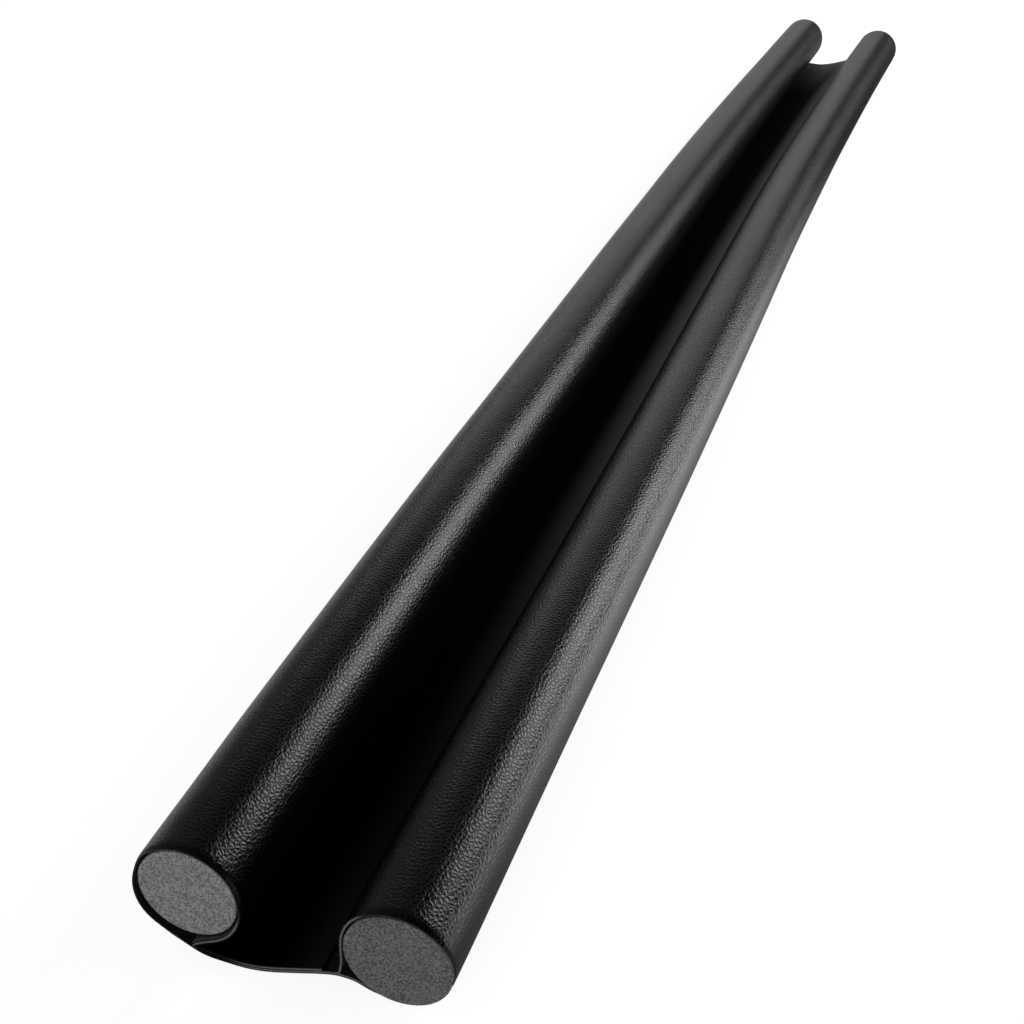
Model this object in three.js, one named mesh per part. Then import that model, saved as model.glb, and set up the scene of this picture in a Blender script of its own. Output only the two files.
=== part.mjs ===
// Twin door draught stopper: one long sheet of coated cloth, folded into two sleeves with a flat web
// between them, and a round foam rod in each sleeve. The web slides under a door, and one rod lies on
// each side of the door leaf. It lies along +Y on its web, with +Z up and its near cut end towards -Y.
import * as THREE from 'three';

// Driving dimensions, in millimetres
const stopperLength = 1000;
const doorGap = 29; // clear width between the two sleeves, where the door leaf stands
const clothThickness = 0.9;
const plyGap = 0.3; // between the web's two plies of cloth
const rodRadius = 14.25;
const rodEase = 0.85; // half of a rod's play in its sleeve, where the sleeve is snug
const rodTouch = 0.3; // gap left where a rod bears on its sleeve
const rodRecess = 0.5; // from the cover's cut ends to the rods' ends

// The left sleeve hangs from a seam under its rod
const leftSeamDrop = 4.9; // from the snug round of the sleeve down to the corner at the seam
const leftInnerSlack = 0.5; // extra room under the rod, on the side of the door
const leftOuterSlack = 2.6; // extra room beside the rod, on the far side
const seamAllowance = 1.5; // folded cloth that thickens the inner wall next to the seam
const seamStack = 2.6; // from the top of the web to the corner of the left sleeve

// The right sleeve is sewn to the web low on its inner side
const rightSeamDrop = 4.5;
const rightUnderSlack = 0.2; // extra room under the rod
const ledgeWidth = 3.6; // flange left bare between the lap edge and the right sleeve
const lapWidth = 4.5; // flange covered by the web's upper ply
const seamRise = 1.6; // from the underside of the seam to the corner of the right sleeve

// The web lies flat on the floor beside the left sleeve and climbs to the right seam
const flatWidth = 10;
const footWidth = 7; // sideways distance in which the left sleeve's wall turns into the web
const footEase = 4.5; // how far the wall and the web run on straight before they turn into each other

// The whole piece lies in a slight curve towards its far end
const bendStart = 474; // distance from the near end that stays straight
const bendOffset = 11.3; // sideways shift of the far end
const farSqueeze = 5; // how much closer the rods lie at the far end

// Directions seen along +Y, in radians. The seams' directions are from the centre of their rod.
const degree = Math.PI / 180;
const leftSeamAngle = -97.5 * degree;
const rightSeamAngle = -150.9 * degree;
const leftBearing = 45 * degree; // where the left rod bears on its sleeve
const rightBearing = -20 * degree;
const slackFull = 40 * degree; // turn from the seam up to which a sleeve has its full slack
const slackNone = 110 * degree; // turn from the seam at which it is snug again
const allowanceFull = 15 * degree; // turn up to which the folded cloth has its full thickness
const allowanceNone = 75 * degree; // turn at which it has faded out
const sharpCorner = 6 * degree; // turn over which a sleeve's wall bends into its seam
const softCorner = 10 * degree;
const wideCorner = 12 * degree;
const wedgeTurn = 14 * degree; // turn at which the left sleeve's inner wall leaves the web
const wallTurn = 7 * degree; // turn at which the right sleeve's inner wall leaves the flange

// Fineness of the faceted solids
const lengthSteps = 12;
const rodSides = 32;
const sleeveSteps = 22; // points on each half of a sleeve
const sleeveCrowding = 1.35; // above 1, the points crowd towards the seam
const curveSteps = 7;

const webThickness = 2 * clothThickness + plyGap;
const snugRadius = rodRadius + rodEase;
const rodSpacing = doorGap + 2 * (snugRadius + clothThickness);
const { smoothstep, clamp } = THREE.MathUtils;
const point = (x, z) => new THREE.Vector2(x, z);

// A sleeve is a round, snug on its rod, that opens into a corner at its seam. Turns are measured
// anticlockwise from the seam's direction.
const leftReach = snugRadius + leftSeamDrop;
const leftSleeve = {
  centre: point(-rodSpacing / 2, webThickness + seamStack - leftReach * Math.sin(leftSeamAngle)),
  seamAngle: leftSeamAngle,
  reach: leftReach,
  slack: { ahead: leftInnerSlack, behind: leftOuterSlack },
  bearing: leftBearing,
  corner: { ahead: sharpCorner, behind: softCorner },
};
const rightSleeve = {
  centre: point(rodSpacing / 2, clothThickness + rightUnderSlack + snugRadius),
  seamAngle: rightSeamAngle,
  reach: snugRadius + rightSeamDrop,
  slack: { ahead: rightUnderSlack, behind: 0 },
  bearing: rightBearing,
  corner: { ahead: wideCorner, behind: wideCorner },
};

function sleevePoint(sleeve, turn) {
  const side = turn > 0 ? 'ahead' : 'behind';
  const slack = sleeve.slack[side] * (1 - smoothstep(Math.abs(turn), slackFull, slackNone));
  const corner = Math.exp(-Math.abs(turn) / sleeve.corner[side]);
  const radius = snugRadius + slack + (sleeve.reach - snugRadius - slack) * corner;
  const angle = sleeve.seamAngle + turn;
  return point(sleeve.centre.x + radius * Math.cos(angle), sleeve.centre.y + radius * Math.sin(angle));
}

// Turns from one side of the seam all the way round to the other.
function sleeveTurns(start, end) {
  const half = (first) => Array.from({ length: sleeveSteps }, (_, i) =>
    first + (Math.PI - first) * (i / sleeveSteps) ** sleeveCrowding);
  return [...half(start), Math.PI, ...half(end).reverse().map((turn) => -turn)];
}

const channel = (sleeve) => sleeveTurns(0, 0).slice(0, -1).map((turn) => sleevePoint(sleeve, turn));

// The sleeve's outer face: its channel moved out along the normal by the wall's thickness there.
function sleeveOutside(sleeve, start, end, thickness) {
  const nudge = degree / 2;
  return sleeveTurns(start, end).map((turn) => {
    const at = sleevePoint(sleeve, turn);
    const along = sleevePoint(sleeve, turn + nudge).sub(sleevePoint(sleeve, turn - nudge)).normalize();
    return point(at.x + along.y * thickness(turn), at.y - along.x * thickness(turn));
  });
}

// Points of a smooth curve that leaves its start and reaches its end in given directions.
const curve = (...handles) => new THREE.CubicBezierCurve(...handles).getPoints(curveSteps);
const between = (...handles) => curve(...handles).slice(1, -1);

// The underside of the web: flat on the floor, then a smooth climb to its crest at the right seam.
const leftCorner = sleevePoint(leftSleeve, 0);
const rightCorner = sleevePoint(rightSleeve, 0);
const flatStart = point(leftCorner.x + footWidth, 0);
const flatEnd = point(flatStart.x + flatWidth, 0);
const crest = point(rightCorner.x - clothThickness, rightCorner.y - seamRise);
const climb = crest.x - flatEnd.x;
const underside = curve(
  flatEnd, point(flatEnd.x + climb * 0.35, 0), point(crest.x - climb * 0.2, crest.y), crest,
);

// Height of the underside at a place across the web, read off that curve.
function undersideAt(x) {
  const next = underside.findIndex((p) => p.x > x);
  if (next < 1) return x <= flatEnd.x ? 0 : crest.y;
  const [a, b] = [underside[next - 1], underside[next]];
  return a.y + ((b.y - a.y) * (x - a.x)) / (b.x - a.x);
}

// Points of a face that follows the underside at a given height above it.
function follow(from, to, height) {
  const places = [from, ...underside.map((p) => p.x).filter((x) => x > from && x < to), to];
  return places.map((x) => point(x, undersideAt(x) + height));
}

function coverOutline() {
  const left = sleeveOutside(leftSleeve, wedgeTurn, wideCorner, (turn) => {
    const folded = turn > 0 ? 1 - smoothstep(turn, allowanceFull, allowanceNone) : 0;
    return clothThickness + seamAllowance * folded;
  });
  const right = sleeveOutside(rightSleeve, wideCorner, wallTurn, () => clothThickness);
  const foot = left.at(-1);
  const footRun = foot.clone().sub(left.at(-2)).setLength(footEase);
  const rise = right[0];
  const riseRun = right[1].clone().sub(rise).setLength(clothThickness);
  const lapEdge = crest.x - ledgeWidth;
  const outline = [
    flatStart,
    ...underside,
    ...between(crest, point(crest.x + clothThickness, crest.y), rise.clone().sub(riseRun), rise),
    ...right,
    point(rightCorner.x - clothThickness, rightCorner.y + clothThickness / 2),
    ...follow(lapEdge, crest.x - clothThickness, clothThickness).reverse(),
    ...follow(flatStart.x - clothThickness, lapEdge, webThickness).reverse(),
    point(leftCorner.x + seamStack / 2, leftCorner.y - seamStack / 2),
    ...left,
    ...between(foot, foot.clone().add(footRun), point(flatStart.x - footEase, 0), flatStart),
  ];
  return outline.map((p) => point(p.x, Math.max(p.y, 0)));
}

// The slot between the web's two plies, from the left seam to the flange under the lap.
function plySlot() {
  const start = flatStart.x - clothThickness;
  const end = crest.x - ledgeWidth - lapWidth;
  return [
    ...follow(start, end, clothThickness),
    ...follow(start, end, clothThickness + plyGap).reverse(),
  ];
}

function coverShape() {
  const shape = new THREE.Shape(coverOutline());
  shape.holes = [channel(leftSleeve), channel(rightSleeve), plySlot()].map((hole) => new THREE.Path(hole));
  return shape;
}

// The rod's round section, moved from the sleeve's centre to where it bears on the sleeve.
function rodShape(sleeve) {
  const play = rodEase - rodTouch;
  const middle = point(Math.cos(sleeve.bearing), Math.sin(sleeve.bearing)).multiplyScalar(play);
  middle.add(sleeve.centre);
  return new THREE.Shape(Array.from({ length: rodSides }, (_, i) => {
    const angle = (2 * Math.PI * i) / rodSides;
    return point(middle.x + rodRadius * Math.cos(angle), middle.y + rodRadius * Math.sin(angle));
  }));
}

// Lays a section along the piece: straight at first, then in a slight curve in which the section
// turns with the path and the two rods draw a little closer.
function layAlong(shape, from, to) {
  const geometry = new THREE.ExtrudeGeometry(shape, {
    depth: to - from, steps: lengthSteps, bevelEnabled: false,
  });
  const position = geometry.attributes.position;
  const bendLength = stopperLength - bendStart;
  for (let i = 0; i < position.count; i++) {
    const along = to - position.getZ(i);
    const bent = Math.max(0, along - bendStart) / bendLength;
    const side = clamp((2 * position.getX(i)) / doorGap, -1, 1);
    const x = position.getX(i) - (side * bent * farSqueeze) / 2;
    const yaw = Math.atan((2 * bendOffset * bent) / bendLength);
    const path = bendOffset * bent ** 2;
    position.setXYZ(i, path + x * Math.cos(yaw), along - x * Math.sin(yaw), position.getY(i));
  }
  geometry.computeVertexNormals();
  return geometry;
}

const leather = new THREE.MeshStandardMaterial({ color: 0x17181a, roughness: 0.5, metalness: 0 });
const foam = new THREE.MeshStandardMaterial({ color: 0x6d6e70, roughness: 1, metalness: 0 });

function piece(name, geometry, material) {
  const mesh = new THREE.Mesh(geometry, material);
  mesh.name = name;
  return mesh;
}

function rod(name, sleeve) {
  return piece(name, layAlong(rodShape(sleeve), rodRecess, stopperLength - rodRecess), foam);
}

const stopper = new THREE.Group();
stopper.add(piece('cover', layAlong(coverShape(), 0, stopperLength), leather));
stopper.add(rod('foam_rod_left', leftSleeve));
stopper.add(rod('foam_rod_right', rightSleeve));

// The origin is the middle of the whole piece, at the level of its underside.
const box = new THREE.Box3().setFromObject(stopper);
const middle = box.getCenter(new THREE.Vector3());
stopper.position.set(-middle.x, -middle.y, -box.min.z);

export default stopper;
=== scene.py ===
# Twin door draught stopper: a sheet of coated cloth folded into two sleeves with a flat web between
# them, and a round foam rod in each sleeve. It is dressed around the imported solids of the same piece.
import math

import bpy
from bpy.props import FloatProperty, FloatVectorProperty, IntProperty, PointerProperty
from mathutils import Matrix, Quaternion, Vector, noise


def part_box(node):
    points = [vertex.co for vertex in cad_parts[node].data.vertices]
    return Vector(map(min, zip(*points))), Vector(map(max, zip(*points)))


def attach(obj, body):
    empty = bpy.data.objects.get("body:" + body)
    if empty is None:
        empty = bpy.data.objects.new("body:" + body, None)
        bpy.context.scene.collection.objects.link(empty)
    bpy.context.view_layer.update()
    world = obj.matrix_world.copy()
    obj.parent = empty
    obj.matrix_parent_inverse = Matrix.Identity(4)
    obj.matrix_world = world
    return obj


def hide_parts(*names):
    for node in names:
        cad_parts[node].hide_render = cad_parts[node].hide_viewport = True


bl_info = {
    "name": "Twin door draught stopper",
    "version": (1, 0, 0),
    "blender": (4, 5, 0),
    "location": "View3D > Sidebar > Stopper",
    "description": "Builds the cloth cover, the foam rods and the stage of a door draught stopper",
    "category": "Object",
}

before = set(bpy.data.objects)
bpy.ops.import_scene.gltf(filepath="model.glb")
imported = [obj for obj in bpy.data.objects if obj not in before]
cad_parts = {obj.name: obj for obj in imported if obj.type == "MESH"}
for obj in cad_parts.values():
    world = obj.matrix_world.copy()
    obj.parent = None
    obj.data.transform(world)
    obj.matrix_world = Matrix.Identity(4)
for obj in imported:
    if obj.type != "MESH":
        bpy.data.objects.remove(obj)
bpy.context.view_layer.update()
MM = 0.001
NEAR_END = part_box("cover")[0].y


def near_end_circle(node):
    """Centre across the piece, height and radius of a rod's near end, read off its solid."""
    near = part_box(node)[0].y + 1 * MM
    ring = [v.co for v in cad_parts[node].data.vertices if v.co.y < near]
    xs, zs = [p.x for p in ring], [p.z for p in ring]
    middle = ((min(xs) + max(xs)) / 2, (min(zs) + max(zs)) / 2)
    return middle, (max(zs) - min(zs)) / 2


LEFT_ROD, ROD_RADIUS = near_end_circle("foam_rod_left")
RIGHT_ROD, _ = near_end_circle("foam_rod_right")


def length(name, description, default):
    """A size in metres, given here in millimetres."""
    return FloatProperty(name=name, description=description, default=default * MM, unit="LENGTH",
                         precision=5)


def turn_angle(name, description, default):
    """An angle, given here in degrees."""
    return FloatProperty(name=name, description=description, default=math.radians(default),
                         subtype="ANGLE", unit="ROTATION")


def colour(name, description, default):
    """A colour as red, green and blue."""
    return FloatVectorProperty(name=name, description=description, default=default, subtype="COLOR",
                               size=3, min=0, max=1)


def share(name, description, default):
    """A plain number from nought to one."""
    return FloatProperty(name=name, description=description, default=default, min=0, max=1,
                         subtype="FACTOR")


class CoverSizes(bpy.types.PropertyGroup):
    """Sizes of the folded sheet."""
    length: length("Length", "Length of the cover along its rods", 1000)
    door_gap: length("Door gap", "Clear width between the two sleeves", 29)
    cloth: length("Cloth thickness", "Thickness of the coated cloth", 0.9)
    ply_gap: length("Ply gap", "Gap between the two plies of the web", 0.4)
    ease: length("Rod ease", "Half of a rod's play in its sleeve where it is snug", 0.85)
    touch: length("Rod touch", "Gap left where a rod bears on its sleeve", 0.3)
    left_drop: length("Left seam drop", "From the round of the left sleeve down to its seam", 4.9)
    left_inner_slack: length("Left inner slack", "Extra room under the left rod", 0.5)
    left_outer_slack: length("Left outer slack", "Extra room beside the left rod", 2.6)
    allowance: length("Seam allowance", "Folded cloth inside the left sleeve's inner wall", 1.5)
    corner_height: length("Corner height", "Height of the corner over the left seam", 4.7)
    right_drop: length("Right seam drop", "From the round of the right sleeve to its seam", 4.5)
    right_under_slack: length("Right under slack", "Extra room under the right rod", 0.2)
    ledge: length("Ledge width", "Flange left bare between the lap edge and the right sleeve", 4.6)
    lap: length("Lap width", "Flange covered by the web's upper ply", 4.5)
    rise: length("Seam rise", "From the underside of the seam to the right sleeve's corner", 1.6)
    foot: length("Foot width", "Width in which the left sleeve's wall turns into the web", 8)
    foot_ease: length("Foot ease", "Straight run of wall and web before the foot's bend", 5.8)
    web_lift: length("Web lift", "Height of the web's underside beside the left seam", 0.9)
    flat: length("Flat width", "Width in which the web's underside comes down to the floor", 9)
    left_seam: turn_angle("Left seam direction", "Direction of the left seam from its rod", -97.5)
    right_seam: turn_angle("Right seam direction", "Direction of the right seam from its rod", -150.9)
    bend_start: length("Bend start", "Distance from the near end that stays straight", 474)
    bend_offset: length("Bend offset", "Sideways shift of the far end", 11.3)
    squeeze: length("Far squeeze", "How much closer the rods lie at the far end", 5)
    puff: length("Puff", "How far the sleeves stand out between the cut ends", 0.45)
    end_puff: length("End puff", "How far the sleeves stand out at the cut ends", 0.25)
    narrowing: length("Far narrowing", "How much thinner the rods and sleeves are at the far end", 1.2)
    pucker: length("Pucker", "Height of the soft waves in the sleeves", 0.16)
    seam_pucker: length("Seam pucker", "Height of the small gathers along the seams", 0.2)
    rings: IntProperty(name="Rings", description="Rows of faces along the piece", default=170, min=20)


class RodSizes(bpy.types.PropertyGroup):
    """Shape of the foam rods' cut ends."""
    rim: length("Rim", "Radius of the soft edge round a cut end", 0.2)
    pore_depth: length("Pore depth", "Depth of the open pores in a cut end", 0.25)
    left_swell: length("Left swell", "How much the left rod widens at its near end", 0.5)
    right_swell: length("Right swell", "How much the right rod widens at its near end", 1.15)
    left_proud: length("Left proud", "How far the left rod stands out of its near end", 0.4)
    right_proud: length("Right proud", "How far the right rod stands out of its near end", 0.5)
    far_recess: length("Far recess", "From the cover's far end to the rods' ends", 1.5)
    sides: IntProperty(name="Sides", description="Faces round a rod", default=120, min=12)
    end_rings: IntProperty(name="End rings", description="Rows of faces in a cut end", default=46, min=4)


class LeatherFinish(bpy.types.PropertyGroup):
    """Look of the coated cloth."""
    coat: colour("Coat colour", "Colour of the coated face", (0.0006, 0.0006, 0.0006))
    web: colour("Web colour", "Colour of the web's upper face", (0.0003, 0.0003, 0.0003))
    # Painted light: the pale colour painted on the web beside the lap edge and at its far end
    web_painted_light: colour("Hem colour", "Colour of the web beside the lap edge", (0.5, 0.5, 0.505))
    backing: colour("Backing colour", "Colour of the woven back", (0.014, 0.014, 0.015))
    cut: colour("Cut edge colour", "Colour of the cloth's pale cut edges", (0.36, 0.36, 0.36))
    roughness: share("Roughness", "Roughness of the coated face", 0.2)
    cell: length("Grain cell", "Width of a cell of the grain", 0.95)
    stretch: FloatProperty(name="Grain stretch", description="Length of a cell over its width",
                           default=1.25, min=0.2)
    depth: length("Grain depth", "Depth of the creases between the cells", 0.047)


class FoamFinish(bpy.types.PropertyGroup):
    """Look of the foam rods."""
    left: colour("Left foam", "Colour of the left rod", (0.5, 0.5, 0.505))
    right: colour("Right foam", "Colour of the right rod", (0.29, 0.29, 0.295))
    pore: length("Pore size", "Width of the foam's pores", 0.8)


class StageSettings(bpy.types.PropertyGroup):
    """Floor, lights and camera."""
    floor_size: FloatProperty(name="Floor size", description="Side of the square floor", default=30,
                              unit="LENGTH")
    floor: colour("Floor colour", "Colour of the floor", (0.7, 0.7, 0.7))
    lift: share("Floor lift", "Whiteness that the camera sees on the floor on top of its light", 0.87)
    floor_sheen: FloatProperty(name="Floor sheen", default=2.8, min=0,
                               description="Brightness of the floor on the right as gloss mirrors it")
    sky: share("Sky level", "Strength of the soft light from the left", 0.19)
    fill_level: FloatProperty(name="Fill level", description="Brightness of the front light's face",
                              default=1.6, min=0)
    strip_level: FloatProperty(name="Strip level", description="Brightness of the strip light's face",
                               default=4.6, min=0)
    back_level: FloatProperty(name="Back level", description="Brightness of the back light's face",
                              default=0.64, min=0)
    camera_place: FloatVectorProperty(name="Camera place", description="Where the camera stands",
                                      default=(0.1597, -0.7422, 0.3037), size=3, subtype="XYZ",
                                      unit="LENGTH", precision=4)
    azimuth: turn_angle("Azimuth", "The camera's turn from looking along the piece", 20.732)
    elevation: turn_angle("Elevation", "How far the camera looks down", 29.926)
    roll: turn_angle("Roll", "The camera's turn about its own axis", -4.490)
    lens: FloatProperty(name="Focal length", description="Focal length on a 36 mm sensor, in mm",
                        default=51.578, min=1)


# Sideways wander of each sleeve with its rod: distance along the piece and shift, in millimetres
LEFT_WANDER = ((0, 0.75), (30, 0.55), (60, -0.05), (100, -0.4), (160, -0.8), (235, -0.85), (290, -0.4),
               (450, 0.45), (550, 0.7), (630, 0.2), (700, -0.1), (800, -0.5), (1000, -2.2))
RIGHT_WANDER = ((0, 0), (100, 0.15), (235, 0.75), (340, 0.8), (450, 0.4), (600, 0), (1000, 1.1))
LEFT_BEARING = math.radians(45)  # direction in which the left rod bears on its sleeve
SMOOTH_UP_TO = math.radians(38)  # edges that turn more than this stay sharp


# Small helpers for curves in the section

def fade(value, start, end):
    """Nought up to start, one from end on, smooth between them."""
    t = min(max((value - start) / (end - start), 0), 1)
    return t * t * (3 - 2 * t)


def bezier(a, b, c, d, count):
    """Points of a cubic curve, both ends included."""
    found = []
    for i in range(count + 1):
        t = i / count
        found.append(a * (1 - t) ** 3 + b * 3 * t * (1 - t) ** 2 + c * 3 * t * t * (1 - t) + d * t ** 3)
    return found


def spread(start, end, count):
    """Evenly spaced numbers, both ends included."""
    return [start + (end - start) * i / (count - 1) for i in range(count)]


def offset_line(points, distance):
    """The points of a line moved to its left by a distance."""
    moved = []
    for i, p in enumerate(points):
        along = (points[min(i + 1, len(points) - 1)] - points[max(i - 1, 0)]).normalized()
        moved.append(p + Vector((-along.y, along.x)) * distance)
    return moved


def height_on(line, x):
    """Height of a line of points, ordered by x, at a place across it."""
    if x <= line[0].x:
        return line[0].y
    for a, b in zip(line, line[1:]):
        if x <= b.x:
            return a.y + (b.y - a.y) * (x - a.x) / (b.x - a.x)
    return line[-1].y


def smooth_through(pairs, x):
    """A smooth curve's value at x. It passes through the given pairs."""
    x = min(max(x, pairs[0][0]), pairs[-1][0])
    last = len(pairs) - 1

    def slope(k):
        (x0, y0), (x1, y1) = pairs[max(k - 1, 0)], pairs[min(k + 1, last)]
        return (y1 - y0) / (x1 - x0)

    k = next(i for i in range(last) if x <= pairs[i + 1][0])
    (x0, y0), (x1, y1) = pairs[k], pairs[k + 1]
    width = x1 - x0
    t = (x - x0) / width
    start = (1 + 2 * t) * (1 - t) ** 2 * y0 + t * (1 - t) ** 2 * width * slope(k)
    end = t * t * (3 - 2 * t) * y1 + t * t * (t - 1) * width * slope(k + 1)
    return start + end


class Station:
    """One place on the path across the folded cloth, seen along the piece."""

    def __init__(self, coated, back, roll=0, pale=1, sleeve=0, web=False):
        self.coated, self.back = coated, back  # points on its two faces
        self.roll = roll  # how far its coated face rolls in at a cut end
        self.pale = pale  # how pale its cut edge is
        self.sleeve = sleeve  # one where it belongs to a sleeve and moves with its rod
        self.web = web


class Sleeve:
    """A round that opens into a corner at its seam. Turns run anticlockwise from the seam."""
    SLACK_FULL, SLACK_NONE = math.radians(40), math.radians(110)  # turns between which its slack fades
    HELD_FROM, HELD_FULL = math.radians(12), math.radians(60)  # turns between which its rod takes hold
    STEPS = 36  # points on each half
    CROWDING = 1.35  # above 1, the points crowd towards the seam

    def __init__(self, centre, seam, snug, reach, slack, corner):
        self.centre, self.seam, self.snug, self.reach = centre, seam, snug, reach
        self.slack, self.corner = slack, corner

    def inside(self, turn):
        """A point on the sleeve's inner face."""
        side = 0 if turn > 0 else 1
        slack = self.slack[side] * (1 - fade(abs(turn), self.SLACK_FULL, self.SLACK_NONE))
        corner = math.exp(-abs(turn) / self.corner[side])
        radius = self.snug + slack + (self.reach - self.snug - slack) * corner
        angle = self.seam + turn
        return self.centre + Vector((math.cos(angle), math.sin(angle))) * radius

    def outside(self, turn, thickness):
        """The point that lies a thickness out from the inner face."""
        nudge = math.radians(0.5)
        along = (self.inside(turn + nudge) - self.inside(turn - nudge)).normalized()
        return self.inside(turn) + Vector((along.y, -along.x)) * thickness

    def turns(self, start, end):
        """Turns from one side of the seam all the way round to the other."""
        shares = [(i / self.STEPS) ** self.CROWDING for i in range(self.STEPS)]
        first = [start + (math.pi - start) * part for part in shares]
        last = [-(end + (math.pi - end) * part) for part in shares]
        return first + [math.pi] + last[::-1]

    def held(self, turn):
        """How fully a place on the sleeve moves with its rod: not at all at the seam."""
        return fade(min(turn % math.tau, -turn % math.tau), self.HELD_FROM, self.HELD_FULL)


def between(turn, start, full, falling, end):
    """One between full and falling, nought before start and after end, for a turn in degrees."""
    degrees = math.degrees(turn % math.tau)
    return fade(degrees, start, full) * (1 - fade(degrees, falling, end))


class Section:
    """The folded sheet seen along the piece, as a line of stations."""
    # Turns over which a sleeve's wall bends into its seam
    SHARP_CORNER, SOFT_CORNER, WIDE_CORNER = math.radians(6), math.radians(10), math.radians(12)
    WEDGE_TURN = math.radians(14)  # turn at which the left sleeve's inner wall leaves the web
    WALL_TURN = math.radians(7)  # turn at which the right sleeve's inner wall leaves the flange
    # Turns round a sleeve in degrees: where something starts, is full, falls off and ends
    LEFT_ROLL = (72, 100, 215, 250)  # the coated face rolls in over the cut edge
    LEFT_HALF_ROLL = (200, 250, 330, 348)  # it rolls in by half
    LEFT_DARK = (60, 82, 360, 361)  # the rolled face hides the cut edge's pale core
    RIGHT_ROLL = (24, 55, 258, 282)
    RIGHT_DARK = (16, 30, 262, 285)
    ALLOWANCE_FULL, ALLOWANCE_NONE = math.radians(15), math.radians(75)
    DARK_WEB, PALE_WEB = 9 * MM, 20 * MM  # distances from the left seam, for the web's cut edge
    TURN_UP = 3.5 * MM  # distance from the left seam at which the upper ply turns up
    FALL = 0.12  # how steeply the web comes down to the floor beside the left seam
    SEAM_REACH = 3 * MM  # how far from the left seam the lower ply is pressed thin

    def __init__(self, s):
        self.s = s
        cloth = s.cloth
        self.web = 2 * cloth + s.ply_gap
        snug = ROD_RADIUS + s.ease
        spacing = s.door_gap + 2 * (snug + cloth)
        left_reach = snug + s.left_drop
        self.left = Sleeve(
            Vector((-spacing / 2, s.corner_height - left_reach * math.sin(s.left_seam))),
            s.left_seam, snug, left_reach, (s.left_inner_slack, s.left_outer_slack),
            (self.SHARP_CORNER, self.SOFT_CORNER))
        self.right = Sleeve(
            Vector((spacing / 2, cloth + s.right_under_slack + snug)),
            s.right_seam, snug, snug + s.right_drop, (s.right_under_slack, 0),
            (self.WIDE_CORNER, self.WIDE_CORNER))
        self.left_corner = self.left.inside(0)
        self.right_corner = self.right.inside(0)
        self.crest = Vector((self.right_corner.x - cloth, self.right_corner.y - s.rise))
        self.lap_edge = self.crest.x - s.ledge
        self.left_turns = self.left.turns(self.WEDGE_TURN, self.WIDE_CORNER)
        self.right_turns = self.right.turns(self.WIDE_CORNER, self.WALL_TURN)
        self.foot = self.left.outside(self.left_turns[-1], cloth)
        self.underside = self.lower_line()

    def lower_line(self):
        """The underside of the web, from the left sleeve's foot to the crest at the right seam."""
        s = self.s
        run = (self.foot - self.left.outside(self.left_turns[-2], s.cloth)).normalized() * s.foot_ease
        rest = Vector((self.left_corner.x + s.foot, s.web_lift))
        slope = Vector((1, -self.FALL)).normalized()
        floor = Vector((rest.x + s.flat, 0))
        climb = self.crest.x - floor.x
        line = bezier(self.foot, self.foot + run, rest - slope * s.foot_ease, rest, 14)
        line += bezier(rest, rest + slope * s.flat / 3, floor - Vector((s.flat / 3, 0)), floor, 6)[1:]
        line += bezier(floor, floor + Vector((climb * 0.35, 0)), self.crest - Vector((climb * 0.2, 0)),
                       self.crest, 16)[1:]
        return line

    def follow(self, xs, height):
        """Points at a height above the web's underside."""
        return [Vector((x, height_on(self.underside, x) + height)) for x in xs]

    def folded(self, turn):
        """How much of the seam allowance lies inside the left sleeve's inner wall at a turn."""
        return 1 - fade(turn, self.ALLOWANCE_FULL, self.ALLOWANCE_NONE) if turn > 0 else 0

    def web_pale(self, x):
        """The web's cut edge is painted dark beside the left seam: painted shade in the seam's corner, where
        the cloth also curls over it.
        """
        return fade(x - self.left_corner.x, self.DARK_WEB, self.PALE_WEB)

    def upper_ply(self):
        """From the lap edge to the left seam, where it turns up into the sleeve's inner wall."""
        s, cloth = self.s, self.s.cloth
        xs = spread(self.lap_edge, self.left_corner.x + self.TURN_UP, 18)
        top, low = self.follow(xs, self.web), self.follow(xs, cloth + s.ply_gap)
        line = [Station(top[0] - Vector((0, 0.3 * cloth)), low[0], pale=0.1, web=True)]
        line.append(Station(top[0] - Vector((0.25 * cloth, 0)), low[0] - Vector((0.25 * cloth, 0)), web=True))
        line += [Station(a, b, pale=self.web_pale(a.x), web=True) for a, b in zip(top[1:], low[1:])]
        apex = self.left_corner + Vector((1.0, -0.45)) * cloth
        wall = self.left.outside(self.WEDGE_TURN, cloth + s.allowance)
        nearly = top[-1].lerp(apex, 0.6) + Vector((0, -0.1)) * cloth
        line.append(Station(nearly, nearly - Vector((0.15, 0.75)) * cloth, pale=0, web=True))
        line.append(Station(apex, self.left_corner + Vector((0.35, -0.3)) * cloth, pale=0.6, web=True))
        slope = (wall - apex).normalized()
        side = Vector((-slope.y, slope.x)) * cloth
        for share_of_way in (0.3, 0.65):
            p = apex.lerp(wall, share_of_way)
            line.append(Station(p, p + side))
        return line

    def left_sleeve(self):
        """Round the left rod, from the web's upper ply to its lower one."""
        s = self.s
        line = []
        for turn in self.left_turns:
            inside = s.allowance * self.folded(turn)
            line.append(Station(
                self.left.outside(turn, s.cloth + inside), self.left.outside(turn, inside),
                roll=max(between(turn, *self.LEFT_ROLL), 0.5 * between(turn, *self.LEFT_HALF_ROLL)),
                pale=max(1 - between(turn, *self.LEFT_DARK), 0.1), sleeve=self.left.held(turn)))
        return line

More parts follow.
